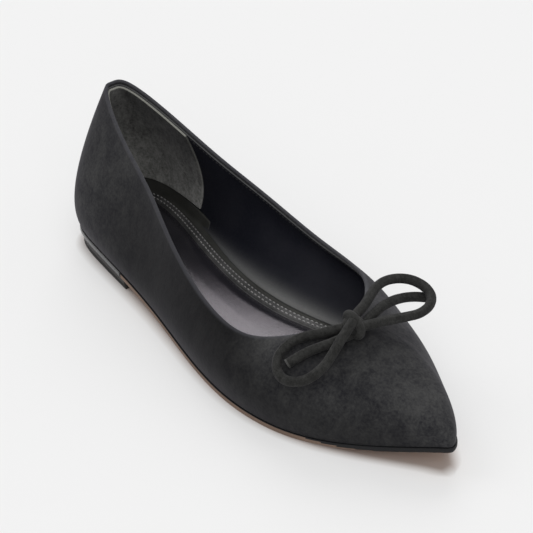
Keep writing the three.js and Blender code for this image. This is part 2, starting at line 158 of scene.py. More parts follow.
def loop_curve(values):
    """A row of values, one for each even step of a closed loop, as a smooth curve through them."""
    values = np.asarray(values, float)
    ahead, behind = np.roll(values, -1), np.roll(values, 1)
    slopes = (ahead - behind) / 2
    for _ in range(SPLINE_PASSES):
        slopes = (3 * (ahead - behind) - np.roll(slopes, -1) - np.roll(slopes, 1)) / 4

    def at(u):
        place = np.asarray(u, float) % len(values)
        i = np.floor(place).astype(int) % len(values)
        j = (i + 1) % len(values)
        f = place - np.floor(place)
        rise = f * f * (3 - 2 * f)
        level = (1 - rise) * values[i] + rise * values[j]
        return level + (f**3 - 2 * f * f + f) * slopes[i] + (f**3 - f * f) * slopes[j]

    return at


def column(name):
    return [row[COLUMNS.index(name)] for row in SECTIONS]


def round_trip(out, back):
    """Out along the little-toe side, and back along the big-toe side."""
    return loop_curve(list(out) + list(back)[1:-1][::-1])


FORM = {name: round_trip(column(name), column(name)) for name in COLUMNS}
FORM["feather"] = round_trip([-w for w in column("outer")], column("inner"))
FORM["opening"] = round_trip([-w for w in column("mouth")], column("mouth"))


def share(u):
    place = np.asarray(u, float) % LOOP
    return np.where(place <= STEPS, place, LOOP - place) / STEPS


def feather_height(x):
    """Height of the feather line over the floor, by the distance from the back of the heel."""
    s = np.asarray(x, float) / LENGTH
    arch = np.clip((s - SEAT_END) / (TREAD_START - SEAT_END), 0, 1)
    toe = np.clip((s - TREAD_END) / (1 - TREAD_END), 0, 1)
    return SOLE + GAP + HEEL_LIFT * (1 + np.cos(np.pi * arch)) / 2 + TOE_SPRING * toe**2


def toe_bend(x):
    return TOE_BEND * np.clip((x / LENGTH - BEND_START) / (1 - BEND_START), 0, None) ** 2


def feather(u):
    return np.stack([LENGTH * (1 - np.cos(np.pi * share(u))) / 2, HALF_BALL * FORM["feather"](u)], -1)


def topline(u):
    return np.stack([LENGTH * FORM["along"](u), HALF_BALL * (FORM["opening"](u) + FORM["lean"](u))], -1)


def at_height(level, height):
    """Level points lifted to their heights."""
    return np.concatenate([level, height[..., None]], -1)


def bell(way):
    return np.exp(-(way**2))


def unit(vectors):
    return vectors / np.linalg.norm(vectors, axis=-1, keepdims=True)


def outward(line, u):
    """Level direction that points out of a loop."""
    step = 0.02
    run = unit(line(u + step) - line(u - step))
    return np.stack([run[..., 1], -run[..., 0]], -1)


def outside(u, v):
    """Outside of the upper: u runs around the shoe, v from the feather line up to the topline."""
    u, v = np.broadcast_arrays(np.asarray(u, float), np.asarray(v, float))
    low, high = feather(u), topline(u)
    low_out = outward(feather, u) * (HALF_BALL * FORM["swell"](u))[..., None]
    high_out = outward(topline, u) * (HALF_BALL * FORM["over"](u))[..., None]
    base, top = feather_height(low[..., 0]), BACK_HEIGHT * FORM["height"](u)
    corners = (at_height(low, base), at_height(low + low_out, base + BACK_HEIGHT * FORM["rise"](u)),
               at_height(high + high_out, top - BACK_HEIGHT * FORM["drop"](u)), at_height(high, top))
    weights = ((1 - v) ** 3, 3 * (1 - v) ** 2 * v, 3 * (1 - v) * v**2, v**3)
    point = sum(weight[..., None] * corner for weight, corner in zip(weights, corners))
    point[..., 1] += toe_bend(point[..., 0])
    return point


def outside_normal(u, v):
    step = 1e-3
    around = outside(u + step, v) - outside(u - step, v)
    up = outside(u, v + step) - outside(u, v - step)
    return unit(np.cross(around, up))


def wall_point(u, v, depth):
    """A point in the wall, by its depth under the outside. At the feather line the depth is level."""
    u, v, depth = np.broadcast_arrays(u, v, depth)
    level = outward(lambda place: outside(place, 0)[..., :2], u)
    level = at_height(level, np.zeros(level.shape[:-1]))
    blend = np.clip(v / FLAT_START, 0, 1)[..., None]
    inward = -unit((1 - blend) * level + blend * outside_normal(u, v))
    return outside(u, v) + inward * depth[..., None]


def sole_point(u, out, under):
    """The feather line moved out, on the sole's upper or lower face."""
    u, out, under = np.broadcast_arrays(u, out, under)
    level = feather(u) + outward(feather, u) * out[..., None]
    height = feather_height(level[..., 0]) - GAP - under
    return np.stack([level[..., 0], level[..., 1] + toe_bend(level[..., 0]), height], -1)


LOOP_STEPS = np.linspace(0, LOOP, AROUND, endpoint=False)
LADDER_FOOT = 0.45  # no way down from the topline reaches lower

# The form stands at the back of the heel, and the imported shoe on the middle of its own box
SHIFT = np.array(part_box("outsole")[0]) - sole_point(LOOP_STEPS, SOLE_EDGE, 0.0).min(0)
SHIFT[2] = 0.0


def reached(wanted, lines, ladder):
    """For each column, the share of the wall's height at which its line comes to the wanted value."""
    found = [np.interp(value, line, ladder) for value, line in zip(wanted.ravel(), lines)]
    return np.array(found).reshape(wanted.shape)


def v_below(u, distance):
    """Share of the wall's height that lies a given way down from the topline, along the wall."""
    ladder = np.linspace(1.0, LADDER_FOOT, 221)
    u, distance = np.broadcast_arrays(np.asarray(u, float), np.asarray(distance, float))
    runs = np.linalg.norm(np.diff(outside(u.ravel()[:, None], ladder), axis=1), axis=-1)
    along = np.concatenate([np.zeros((len(runs), 1)), np.cumsum(runs, axis=1)], axis=1)
    return reached(distance, along, ladder)


def v_above(u, rise):
    """Share of the wall's height at which its outside stands a given way over the feather line."""
    ladder = np.linspace(0.0, 1.0, 201)
    u, rise = np.broadcast_arrays(np.asarray(u, float), np.asarray(rise, float))
    heights = outside(u.ravel()[:, None], ladder)[..., 2]
    heights = np.maximum.accumulate(heights - heights[:, :1], axis=1)
    return reached(rise, heights, ladder)


def grid_faces(rows, columns, close_rows=False, close_columns=False):
    """Four-sided faces of a grid of points, row after row."""
    i = np.arange(rows if close_rows else rows - 1)[:, None]
    j = np.arange(columns if close_columns else columns - 1)[None, :]
    below, above = i * columns, (i + 1) % rows * columns
    after = (j + 1) % columns
    corners = np.broadcast_arrays(below + j, below + after, above + after, above + j)
    return np.stack(corners, -1).reshape(-1, 4)


def new_piece(name, points, faces, materials, cover=None):
    """A mesh object from points in the last's own place. Cover gives the number of each face's material."""
    mesh = bpy.data.meshes.new(name)
    placed = np.asarray(points, float).reshape(-1, 3) + SHIFT
    mesh.from_pydata(placed.tolist(), [], faces.tolist())
    for material in materials:
        mesh.materials.append(material)
    if cover is not None:
        mesh.polygons.foreach_set("material_index", np.asarray(cover, np.int32))
    mesh.polygons.foreach_set("use_smooth", np.ones(len(mesh.polygons), bool))
    mesh.update()
    piece = bpy.data.objects.new(name, mesh)
    bpy.context.scene.collection.objects.link(piece)
    return piece


def ring_piece(name, rings, materials, cover=None, joined=False):
    """A piece whose surface runs over closed rings. Joined: the last ring meets the first."""
    return new_piece(name, rings, grid_faces(*rings.shape[:2], joined, True), materials, cover)


def paint(piece, name, values):
    """A value at each point of a mesh, for its material to read."""
    layer = piece.data.attributes.new(name, "FLOAT", "POINT")
    layer.data.foreach_set("value", np.asarray(values, np.float32).ravel())


def tidy(piece, weld):
    """Welds points that fall together, and turns all faces outwards."""
    work = bmesh.new()
    work.from_mesh(piece.data)
    bmesh.ops.remove_doubles(work, verts=work.verts, dist=weld)
    bmesh.ops.dissolve_degenerate(work, edges=work.edges, dist=weld)
    bmesh.ops.recalc_face_normals(work, faces=work.faces)
    work.to_mesh(piece.data)
    work.free()


def hand_over(piece, solid):
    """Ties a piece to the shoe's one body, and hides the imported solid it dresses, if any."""
    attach(piece, "root")
    if solid:
        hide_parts(solid)


# Materials

def fill(tree, made, values):
    """Fills a node's inputs: a socket is linked, and anything else is set."""
    for key, value in values.items():
        if isinstance(value, bpy.types.NodeSocket):
            tree.links.new(value, made.inputs[key])
        else:
            made.inputs[key].default_value = value


def node(tree, kind, values=None, **settings):
    made = tree.nodes.new("ShaderNode" + kind)
    for key, value in settings.items():
        setattr(made, key, value)
    fill(tree, made, values or {})
    return made


def start_effect(name, colours, numbers, outputs):
    """An empty shader group and its two end nodes."""
    tree = bpy.data.node_groups.new(name, "ShaderNodeTree")
    for label in colours:
        tree.interface.new_socket(label, in_out="INPUT", socket_type="NodeSocketColor")
    for label, value in numbers.items():
        tree.interface.new_socket(label, in_out="INPUT", socket_type="NodeSocketFloat").default_value = value
    for label in outputs:
        kind = "NodeSocketColor" if label == "Color" else "NodeSocketFloat"
        tree.interface.new_socket(label, in_out="OUTPUT", socket_type=kind)
    return tree, tree.nodes.new("NodeGroupInput").outputs, tree.nodes.new("NodeGroupOutput")


def ranged(tree, value, start=0.0, end=1.0, low=0.0, high=1.0):
    """A value from start to end, brought between low and high and held there."""
    values = {"Value": value, "From Min": start, "From Max": end, "To Min": low, "To Max": high}
    return node(tree, "MapRange", values).outputs["Result"]


def maths(tree, operation, first, second):
    return node(tree, "Math", {0: first, 1: second}, operation=operation).outputs[0]


def mixed(tree, first, share, second, other_share):
    """Two values added, each in its share."""
    parts = (maths(tree, "MULTIPLY", first, share), maths(tree, "MULTIPLY", second, other_share))
    return maths(tree, "ADD", *parts)


def blend_colour(tree, factor, first, second):
    return node(tree, "Mix", {0: factor, 6: first, 7: second}, data_type="RGBA").outputs[2]


def on_object(tree):
    return node(tree, "TexCoord").outputs["Object"]


def painted(tree, name):
    return node(tree, "Attribute", attribute_name=name).outputs["Fac"]


def noise(tree, place, scale, detail=2.0, roughness=0.5, distortion=0.0):
    values = {"Vector": place, "Scale": scale, "Detail": detail, "Roughness": roughness,
              "Distortion": distortion}
    return node(tree, "TexNoise", values).outputs["Fac"]


def make_nap():
    """Suede's nap: mottled patches, streaks that hang down the wall, and single fibres, with its tone scaled by
    painted light and shade.
    """
    tree, given, result = start_effect(
        "suede nap", ("Ground", "Bloom"), {"Patch Scale": 60.0, "Fibre Scale": 1500.0, "Fibre Share": 0.48,
                                           "Painted Light": 1.0}, ("Color", "Roughness", "Height"))
    place = on_object(tree)
    hung = node(tree, "Mapping", {"Vector": place, "Scale": (1.0, 1.0, 0.4)}).outputs["Vector"]
    patch = noise(tree, place, given["Patch Scale"], 5.0, 0.7, 0.8)
    streak = noise(tree, hung, maths(tree, "MULTIPLY", given["Patch Scale"], 4.5), 4.0, 0.65, 0.4)
    fibre = noise(tree, place, given["Fibre Scale"], 2.0, 0.7)
    lifted = ranged(tree, mixed(tree, patch, 0.55, streak, 0.45), 0.41, 0.6)
    tips = ranged(tree, fibre, 0.3, 0.7)
    mask = mixed(tree, lifted, maths(tree, "SUBTRACT", 1.0, given["Fibre Share"]), tips, given["Fibre Share"])
    tone = blend_colour(tree, mask, given["Ground"], given["Bloom"])
    # Painted light and shade: the tone scaled up or down.
    lit_tone = node(tree, "VectorMath", {0: tone, 3: given["Painted Light"]}, operation="SCALE").outputs[0]
    fill(tree, result, {"Color": lit_tone, "Roughness": ranged(tree, fibre, low=0.82, high=0.98),
                        "Height": mixed(tree, fibre, 0.7, streak, 0.9)})
    return tree


def make_grain():
    """Smooth leather's grain: small pebbles between fine creases, with slow changes of tone."""
    tree, given, result = start_effect(
        "leather grain", ("Color", "Rubbed"), {"Pebble Scale": 1400.0, "Gloss": 0.4, "Matt": 0.6},
        ("Color", "Roughness", "Height"))
    place = on_object(tree)
    bent = noise(tree, place, 300.0, 2.0)
    moved = node(tree, "Mix", {0: 0.02, 4: place, 5: bent}, data_type="VECTOR").outputs[1]
    pebble = node(tree, "TexVoronoi", {"Vector": moved, "Scale": given["Pebble Scale"]},
                  feature="DISTANCE_TO_EDGE").outputs["Distance"]
    raised = ranged(tree, pebble, 0.0, 0.25)
    slow = noise(tree, place, 45.0, 4.0, 0.55)
    fine = noise(tree, place, 2600.0, 2.0)
    tone = blend_colour(tree, ranged(tree, slow, 0.42, 0.72), given["Color"], given["Rubbed"])
    gloss = ranged(tree, mixed(tree, slow, 0.7, fine, 0.3), 0.3, 0.7, given["Gloss"], given["Matt"])
    fill(tree, result, {"Color": tone, "Roughness": gloss,
                        "Height": maths(tree, "ADD", raised, maths(tree, "MULTIPLY", fine, 0.3))})
    return tree


def make_pale_edge_and_sheen():
    """Pale fibres over a material's own colour, where its mesh is painted so: real cut edges, and painted
    highlights along the topline's roll and the lining's foot.
    """
    tree, given, result = start_effect("pale edge and sheen", ("Color", "Raw"), {"Ragged": 0.35}, ("Color",))
    torn = noise(tree, on_object(tree), 900.0, 3.0, 0.6)
    kept = maths(tree, "SUBTRACT", 1.0, maths(tree, "MULTIPLY", torn, given["Ragged"]))
    mask = maths(tree, "MULTIPLY", painted(tree, "pale"), kept)
    fill(tree, result, {"Color": blend_colour(tree, mask, given["Color"], given["Raw"])})
    return tree


NAP_RELIEF = 0.0002  # how deep the nap lies
COAT_ROUGHNESS = 0.25

NAP = make_nap()
GRAIN = make_grain()
PALE_EDGE_AND_SHEEN = make_pale_edge_and_sheen()


def start_material(name):
    material = bpy.data.materials.new(name)
    material.use_nodes = True
    tree = material.node_tree
    tree.nodes.clear()
    shader = node(tree, "BsdfPrincipled")
    node(tree, "OutputMaterial", {"Surface": shader.outputs["BSDF"]})
    return material, tree, shader


def use(tree, effect, values):
    return node(tree, "Group", values, node_tree=effect).outputs


def suede(name, ground, bloom, patch, fibre, pale_tone, sheen=0.16, painted_light=False):
    """Suede that shows pale fibres wherever its mesh is painted so, and, where asked, painted light and shade
    read from its mesh.
    """
    material, tree, shader = start_material(name)
    values = {"Ground": ground + (1,), "Bloom": bloom + (1,), "Patch Scale": patch, "Fibre Scale": fibre}
    if painted_light:
        values["Painted Light"] = painted(tree, "painted_light")
    nap = use(tree, NAP, values)
    edge = use(tree, PALE_EDGE_AND_SHEEN, {"Color": nap["Color"], "Raw": pale_tone + (1,)})
    bump = node(tree, "Bump", {"Height": nap["Height"], "Strength": 0.55, "Distance": NAP_RELIEF})
    fill(tree, shader, {"Base Color": edge["Color"], "Roughness": nap["Roughness"],
                        "Normal": bump.outputs["Normal"], "Specular IOR Level": 0.12, "Sheen Weight": sheen,
                        "Sheen Roughness": 0.45, "Sheen Tint": (0.62, 0.6, 0.66, 1)})
    return material


def leather(name, colour, rubbed, pebble, gloss, matt, pale_tone=None, relief=0.00008, specular=0.5, coat=0.0,
            tint=(1.0, 1.0, 1.0, 1)):
    """Smooth leather, and thread and rubber with it. Its pale tone colours its cut edges and its painted sheen,
    if it shows any.
    """
    material, tree, shader = start_material(name)
    grain = use(tree, GRAIN, {"Color": colour + (1,), "Rubbed": rubbed + (1,), "Pebble Scale": pebble,
                              "Gloss": gloss, "Matt": matt})
    top = grain["Color"]
    if pale_tone:
        top = use(tree, PALE_EDGE_AND_SHEEN, {"Color": top, "Raw": pale_tone + (1,)})["Color"]
    bump = node(tree, "Bump", {"Height": grain["Height"], "Strength": 0.5, "Distance": relief})
    fill(tree, shader, {"Base Color": top, "Roughness": grain["Roughness"], "Normal": bump.outputs["Normal"],
                        "Specular IOR Level": specular, "Specular Tint": tint, "Coat Weight": coat,
                        "Coat Roughness": COAT_ROUGHNESS})
    return material


# The upper's and the heel grip's suede read painted light and shade from their meshes.
BLACK_SUEDE = suede("black_suede", (0.009, 0.009, 0.0115), (0.046, 0.046, 0.0455), 42.0, 750.0,
    (0.11, 0.11, 0.125), painted_light=True)
GRIP_SUEDE = suede("grip_suede", (0.035, 0.035, 0.033), (0.145, 0.144, 0.138), 60.0, 750.0,
    (0.42, 0.42, 0.38), painted_light=True)
CORD_SUEDE = suede("cord_suede", (0.012, 0.012, 0.0115), (0.046, 0.046, 0.044), 150.0, 1700.0,
    (0.13, 0.13, 0.125), sheen=0.08)
LINING_LEATHER = leather("lining_leather", (0.012, 0.0126, 0.018), (0.018, 0.0182, 0.024), 1500.0, 0.34,
    0.48, pale_tone=(0.23, 0.23, 0.225), specular=0.08)
SOCK_LEATHER = leather("sock_leather", (0.014, 0.0135, 0.017), (0.022, 0.021, 0.025), 1600.0, 0.21, 0.26,
    relief=0.00001, specular=0.72, coat=0.1, tint=(1.0, 0.9, 1.0, 1))
SOCK_RIDGE = leather("sock_ridge", (0.022, 0.022, 0.022), (0.1, 0.098, 0.097), 450.0, 0.4, 0.6,
    relief=0.0003, specular=0.6)
SOCK_BORDER = leather("sock_border", (0.03, 0.03, 0.027), (0.055, 0.055, 0.05), 900.0, 0.58, 0.75,
    specular=0.3)
SOLE_EDGE_BLACK = leather("sole_edge_black", (0.008, 0.008, 0.009), (0.014, 0.014, 0.015), 2400.0, 0.5,
    0.65, specular=0.25)
HEEL_SEAT_BLACK = leather("heel_seat_black", (0.012, 0.012, 0.013), (0.02, 0.02, 0.021), 2400.0, 0.26,
    0.36, specular=0.9, coat=0.5)
SOLE_LEATHER = leather("sole_leather", (0.5, 0.29, 0.17), (0.42, 0.24, 0.14), 900.0, 0.45, 0.65)
SOLE_EDGE_TAN = leather("sole_edge_tan", (0.19, 0.128, 0.095), (0.15, 0.102, 0.076), 900.0, 0.55, 0.7,
    specular=0.3)
HEEL_LEATHER = leather("heel_leather", (0.01, 0.01, 0.011), (0.016, 0.016, 0.017), 2000.0, 0.36, 0.5,
    specular=0.4)
RUBBER = leather("top_piece_rubber", (0.012, 0.012, 0.012), (0.02, 0.02, 0.019), 700.0, 0.62, 0.8)
THREAD = leather("sock_thread", (0.34, 0.33, 0.33), (0.5, 0.49, 0.49), 3000.0, 0.55, 0.7)
BLACK_THREAD = leather("topline_thread", (0.014, 0.014, 0.015), (0.03, 0.03, 0.031), 3000.0, 0.55, 0.7)


# Camera

def make_camera():
    """The camera stands where the photograph's stood. It is turned to the one shoe and drawn in on it."""
    a, e = VIEW_AZIMUTH, VIEW_ELEVATION
    back = np.array([math.sin(a) * math.cos(e), -math.cos(a) * math.cos(e), math.sin(e)])
    right = np.array([math.cos(a), math.sin(a), 0.0])
    up = np.cross(back, right)
    per_pixel = VIEW_DISTANCE / FOCAL_PIXELS
    across = (AIM_PIXEL[0] - PICTURE / 2) * per_pixel
    down = (AIM_PIXEL[1] - PICTURE / 2) * per_pixel
    eye = np.array(AIM) + SHIFT + VIEW_DISTANCE * back - across * right + down * up
    aside, below = ((pixel - PICTURE / 2) / FOCAL_PIXELS for pixel in MIDDLE_PIXEL)
    back = unit(back - aside * right + below * up)
    right = unit(np.cross((0, 0, 1.0), back))
    up = np.cross(back, right)
    data = bpy.data.cameras.new("photo_camera")
    data.sensor_width = SENSOR
    data.lens = CLOSER * FOCAL_PIXELS / PICTURE * SENSOR
    data.clip_start, data.clip_end = 0.05, 20.0
    camera = bpy.data.objects.new("photo_camera", data)
    camera.matrix_world = Matrix([*zip(right, up, back, eye), (0, 0, 0, 1)])
    bpy.context.scene.collection.objects.link(camera)
    bpy.context.scene.camera = camera


# The bow

CORD_STEP = 0.00035  # from one ring of the cord to the next
CORD_SIDES = 28
CORD_UNEVEN = 0.03  # as a share of the cord's radius
ROOT_STEPS = 19
CORE_SUNK = 0.0006  # how far the core lies inside a cut end
END_DOT = 0.001  # share of an end's last ring at which the weld closes it


def lengths_along(line):
    return np.concatenate([[0], np.cumsum(np.linalg.norm(np.diff(line, axis=0), axis=1))])


def points_along(line, at):
    """A line's points at given lengths along it."""
    along = lengths_along(line)
    return np.stack([np.interp(at, along, line[:, k]) for k in range(3)], 1)


def cord_line(points):
    """Smooth line through a route's points, with even steps."""
    ends = np.vstack([2 * points[0] - points[1], points, 2 * points[-1] - points[-2]])
    fine = []
    f = np.linspace(0, 1, 24, endpoint=False)[:, None]
    for k in range(len(points) - 1):
        p0, p1, p2, p3 = ends[k : k + 4]
        m1, m2 = (p2 - p0) / 2, (p3 - p1) / 2
        fine.append((2 * f**3 - 3 * f**2 + 1) * p1 + (f**3 - 2 * f**2 + f) * m1
                    + (3 * f**2 - 2 * f**3) * p2 + (f**3 - f**2) * m2)
    fine = np.vstack(fine + [points[-1:]])
    whole = lengths_along(fine)[-1]
    return points_along(fine, np.linspace(0, whole, int(whole / CORD_STEP) + 1))


def with_roots(line, both):
    """The line with its straight root inside the knot, at its start or at both ends."""
    def root(end, direction):
        return end + direction * np.linspace(CORD_ROOT, 0, ROOT_STEPS)[:-1, None]

    line = np.vstack([root(line[0], unit(line[0] - line[2])), line])
    if both:
        line = np.vstack([line, root(line[-1], unit(line[-1] - line[-3]))[::-1]])
    return line


def carried_frames(line):
    """Two directions across the line at each of its points, carried along it without a twist."""
    tangents = unit(np.gradient(line, axis=0))
    side = unit(np.cross(tangents[0], (0, 0, 1.0)))
    sides = []
    for tangent in tangents:
        side = unit(side - tangent * (side @ tangent))
        sides.append(side)
    sides = np.array(sides)
    return sides, np.cross(tangents, sides), tangents


def tube(line, radius, seam_at=-math.pi / 2, seed=0.0):
    """Rings of a suede-covered cord: nearly round, softly uneven, with a sewn seam along it."""
    across, up, _ = carried_frames(line)
    turn = np.linspace(0, 2 * np.pi, CORD_SIDES, endpoint=False)
    run = np.arange(len(line))[:, None] * 0.35
    waves = 0.5 * np.sin(run / 7.3 + seed) + 0.3 * np.sin(run / 3.1 + 2 * turn + seed)
    waves = waves + 0.2 * np.sin(run / 1.7 - turn)
    off_seam = np.abs((turn - seam_at + np.pi) % (2 * np.pi) - np.pi)
    welt = 0.07 * bell(off_seam / 0.3) - 0.05 * bell((off_seam - 0.55) / 0.16)
    reach = radius * (1 + CORD_UNEVEN * waves + welt)
    sideways = across[:, None] * (np.cos(turn) * reach)[..., None]
    return line[:, None] + sideways + up[:, None] * (np.sin(turn) * reach)[..., None]


def cap_rings(ring, centre, outwards, inset, count):
    """Rings that close a cord's end, the inner ones sunk by up to the inset."""
    shares = np.linspace(1, 0, count + 2)[1:-1]
    return np.array([centre + (ring - centre) * s - outwards * inset * (1 - s) for s in shares])


def with_closed_ends(rings, line):
    """A tube's rings with a tiny one more at each end, which the weld makes one point."""
    first, last = line[0] + (rings[:1] - line[0]) * END_DOT, line[-1] + (rings[-1:] - line[-1]) * END_DOT
    return np.concatenate([first, rings, last])


def cord_piece(name, line, cut_end, seed):
    rings = tube(line, CORD / 2, seed=seed)
    tangents = carried_frames(line)[2]
    first = cap_rings(rings[0], line[0], -tangents[0], 0.0, 2)[::-1]
    last = cap_rings(rings[-1], line[-1], tangents[-1], CORE_SUNK if cut_end else 0.0, 5)
    rings = with_closed_ends(np.concatenate([first, rings, last]), line)
    piece = ring_piece(name, rings, [CORD_SUEDE])
    pale = np.zeros(rings.shape[:2])
    if cut_end:
        pale[-(len(last) + 2) :] = 1.0
        pale[-(len(last) + 4) : -(len(last) + 2)] = 0.5
    paint(piece, "pale", pale)
    tidy(piece, WELD_CORD)
    return piece


def knot_piece(middle):
    """One turn of the cord around all strands, leaning with the vamp, over a small heart."""
    way = np.linspace(-KNOT_TURN, KNOT_TURN, 150)
    turns = way * 2 * np.pi + np.pi / 2
    long, high = KNOT_LONG - CORD / 2, KNOT_HIGH - CORD / 2
    hug = 1 - 0.22 * np.clip((np.abs(way) - 0.42) / 0.2, 0, 1)
    flat = np.stack([long * hug * np.cos(turns), KNOT_DRIFT * way, high * hug * np.sin(turns)], 1)
    cosine, sine = math.cos(KNOT_TILT), math.sin(KNOT_TILT)
    lean = np.array([[cosine, 0, sine], [0, 1, 0], [-sine, 0, cosine]])
    line = flat @ lean.T + middle
    wrap = with_closed_ends(tube(line, CORD / 2 * 1.04, seam_at=math.pi, seed=2.0), line)
    polar = np.linspace(0, np.pi, 17)[:, None]
    spin = np.linspace(0, 2 * np.pi, 24, endpoint=False)
    heart = np.stack(np.broadcast_arrays(np.sin(polar) * np.cos(spin) * long, np.cos(polar) * CORD * 1.15,
                                         np.sin(polar) * np.sin(spin) * high), -1)
    points = np.concatenate([wrap.reshape(-1, 3), (heart @ lean.T + middle).reshape(-1, 3)])
    wrap_faces, heart_faces = (grid_faces(*part.shape[:2], close_columns=True) for part in (wrap, heart))
    faces = np.concatenate([wrap_faces, heart_faces + wrap.shape[0] * wrap.shape[1]])
    piece = new_piece("bow_knot_wrap", points, faces, [CORD_SUEDE])
    tidy(piece, WELD_CORD)
    return piece


def make_bow():
    throat = outside(np.array([float(STEPS)]), np.array([1.0]))[0]
    knot = knot_piece(throat + KNOT)
    hand_over(knot, "bow_knot")
    strands = (
        ("bow_cord_loop_outer", "bow_loop_outer", OUTER_LOOP, "knot"),
        ("bow_cord_loop_inner", "bow_loop_inner", INNER_LOOP, "knot"),
        ("bow_cord_end_outer", "bow_end_outer", OUTER_END, "bare"),
        ("bow_cord_end_inner", "bow_end_inner", INNER_END, "bare"),
    )
    for number, (name, solid, route, far_end) in enumerate(strands):
        line = with_roots(cord_line(np.array(route) / 1000) + throat, far_end == "knot")
        piece = cord_piece(name, line, far_end == "bare", 1.3 * number)
        hand_over(piece, solid)


# The upper

FOLD = 0.0016  # width of the suede folded in over the topline
FOLD_SHOWS = 0.0013  # from the topline down to the lining's cut edge
SUEDE = 0.0012  # thickness of the suede below the fold
RIM_SHEEN_REACH = 0.0013  # how far a painted highlight reaches around the topline's roll
RIM_SHEEN_PALE = 0.42  # how pale that painted highlight is
OUTSIDE_ROWS = 95
ROLL_STEPS = 12

# Painted light and shade around the shoe, in the last's even steps: a factor on the suede's tone, low on the
# wall and high by the topline, darker where the studio light falls less and lighter where it falls more
PAINTED_LIGHT_HIGH = (0.9, 0.9, 0.94, 0.68, 0.34, 0.22, 0.26, 1.1, 1.7, 1.0,
                0.85, 0.98, 1.34, 1.36, 1.24, 1.1, 1.0, 1.0, 1.0, 1.0)
PAINTED_LIGHT_LOW = (0.86, 0.94, 0.96, 0.46, 0.32, 0.3, 0.46, 0.54, 0.66, 1.15,
               1.5, 1.15, 1.3, 1.38, 1.24, 1.1, 1.0, 1.0, 1.0, 1.0)


def make_upper():
    """The suede: up its outside, over the rolled topline and down behind the lining."""
    u = LOOP_STEPS
    rows = []
    tuck = ((0.0011, -0.00028), (0.0006, -0.00028), (0.00022, -0.00018), (0.00003, 0.0))
    for depth, drop in tuck:
        row = wall_point(u, 0.0, depth)
        row[:, 2] = feather_height(row[:, 0]) + drop
        rows.append(row)
    climb = (np.linspace(0.006, 0.06, 8), np.linspace(0.07, 0.94, OUTSIDE_ROWS - 17), np.linspace(0.95, 1.0, 9))
    for v in np.concatenate(climb):
        rows.append(wall_point(u, v, 0.0))
    top, normal = outside(u, 1.0), outside_normal(u, 1.0)
    rising = unit(outside(u, 1.0) - outside(u, 0.99))
    for angle in np.linspace(0, np.pi, ROLL_STEPS + 2)[1:-1]:
        rows.append(top - normal * FOLD / 2 + FOLD / 2 * (normal * math.cos(angle) + rising * math.sin(angle)))
    for down, depth in ((0.0001, FOLD), (0.0005, FOLD), (0.0009, FOLD - 0.00004), (0.00115, FOLD - 0.00018),
                        (0.0014, FOLD - 0.00036), (0.002, SUEDE)):
        rows.append(wall_point(u, v_below(u, down), depth))
    for v in np.linspace(0.9, 0.02, 14):
        rows.append(wall_point(u, v, SUEDE))
    rows = np.array(rows)
    piece = ring_piece("upper_suede", rows, [BLACK_SUEDE], joined=True)
    outer_rows = len(tuck) + OUTSIDE_ROWS
    # Painted highlight along the topline's roll, laid as pale fibres.
    from_rim = np.linalg.norm(rows - (top - normal * FOLD / 2 + rising * FOLD / 4), axis=-1)
    rim_sheen = np.exp(-((from_rim / RIM_SHEEN_REACH) ** 4))
    rim_sheen[outer_rows + ROLL_STEPS :] = 0
    paint(piece, "pale", rim_sheen * RIM_SHEEN_PALE)
    # Painted light and shade, from its value low on the wall to its value by the topline.
    up = np.ones(len(rows))
    up[:outer_rows] = np.linspace(0, 1, outer_rows) ** 1.5
    low, high = loop_curve(PAINTED_LIGHT_LOW)(u), loop_curve(PAINTED_LIGHT_HIGH)(u)
    paint(piece, "painted_light", low + (high - low) * up[:, None])
    tidy(piece, WELD_FINE)
    hand_over(piece, "upper")


COVE_SINK = 0.0004  # how far the lining's foot runs on into the sock
COVE_HIGH = 0.007  # height over the sock at which the lining begins to curve in to it

# How far in from the wall the lining's foot lies, where the sock stops short of the wall
COVE_IN = (0,) * 13 + (0.001, 0.0036, 0.0066, 0.0058, 0.0008, 0, 0)

# Painted sheen along the lining's foot, where it curves in to the sock, in the same steps
PAINTED_SHEEN = (0,) * 13 + (0.15, 0.45, 1.0, 0.7, 0.25, 0, 0)
PAINTED_SHEEN_PEAK = 0.9  # share of the painted sheen's pale tone at its palest


def cove(u):
    return np.clip(loop_curve(COVE_IN)(u) - 0.0003, 0, None)


def inward_of(level):
    """Level direction into a closed outline, at each of its points."""
    run = unit(np.roll(level, -1, 0) - np.roll(level, 1, 0))
    return np.stack([-run[:, 1], run[:, 0]], 1)


